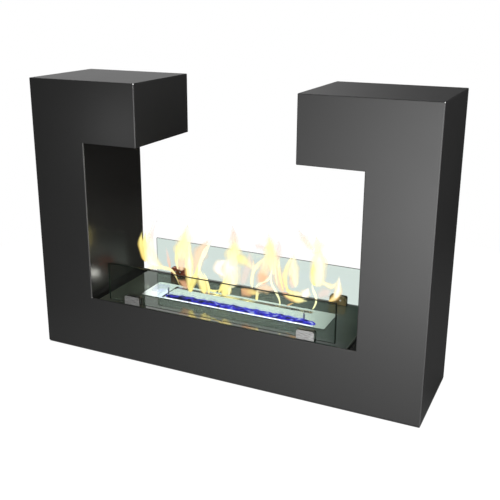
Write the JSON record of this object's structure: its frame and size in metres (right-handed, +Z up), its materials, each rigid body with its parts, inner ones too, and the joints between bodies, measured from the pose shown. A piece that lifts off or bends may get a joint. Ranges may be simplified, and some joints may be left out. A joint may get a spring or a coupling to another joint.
{
  "type": "bioethanol fireplace",
  "caption": "Free-standing open bioethanol fireplace: black steel frame with two inward arms, glass screens each side of a drop-in burner with a sliding damper.",
  "frame": {"origin": "on the floor, under the middle of the frame", "axes": "+X to the right along the width seen from the front, +Y from the front to the rear, +Z up"},
  "size_m": [1, 0.25, 0.7],
  "materials": {
    "black_powder_coat": "satin black powder coat on sheet steel",
    "zinc_steel": "bright zinc plate",
    "black_rubber": "matt black",
    "black_glass": "polished black toughened glass",
    "clear_glass": "clear toughened float glass with a faint green edge",
    "brushed_stainless": "fine brushed stainless steel",
    "ceramic_fibre": "soft white ceramic fibre"
  },
  "bodies": {
    "frame": {"front_panel": "black_powder_coat", "rear_panel": "black_powder_coat", "left_side_panel": "black_powder_coat", "left_top_panel": "black_powder_coat", "left_arm_end": "black_powder_coat", "left_arm_underside": "black_powder_coat", "left_inner_wall": "black_powder_coat", "left_tower_stiffener": "black_powder_coat", "right_side_panel": "black_powder_coat", "right_top_panel": "black_powder_coat", "right_arm_end": "black_powder_coat", "right_arm_underside": "black_powder_coat", "right_inner_wall": "black_powder_coat", "right_tower_stiffener": "black_powder_coat", "base_plate": "black_powder_coat", "shelf_plate": "black_powder_coat", "base_cleats": "zinc_steel", "base_screws": "zinc_steel", "front_shelf_angle": "zinc_steel", "rear_shelf_angle": "zinc_steel", "left_cross_bearer": "zinc_steel", "right_cross_bearer": "zinc_steel", "clamp_fixing_screws": "zinc_steel", "clamp_grub_screws": "zinc_steel", "foot_pads": "black_rubber", "clamp_liners": "black_rubber", "clamp_gaskets": "black_rubber", "deck_plate": "black_glass", "front_glass": "clear_glass", "rear_glass": "clear_glass", "front_left_clamp": "brushed_stainless", "front_right_clamp": "brushed_stainless", "rear_left_clamp": "brushed_stainless", "rear_right_clamp": "brushed_stainless"},
    "burner": {"burner_flange": "brushed_stainless", "burner_tank": "brushed_stainless", "mouth_plate": "brushed_stainless", "fibre_block": "ceramic_fibre", "fibre_cover": "brushed_stainless"},
    "damper": {"damper_strip": "brushed_stainless", "damper_pins": "brushed_stainless"}
  },
  "joints": [
    {"name": "burner_lift", "type": "slide", "parent": "frame", "child": "burner", "axis": [0, 0, 1], "range_m": [0, 0.07]},
    {"name": "damper_slide", "type": "slide", "parent": "burner", "child": "damper", "axis": [0, 1, 0], "range_m": [-0.024, 0.015]}
  ]
}
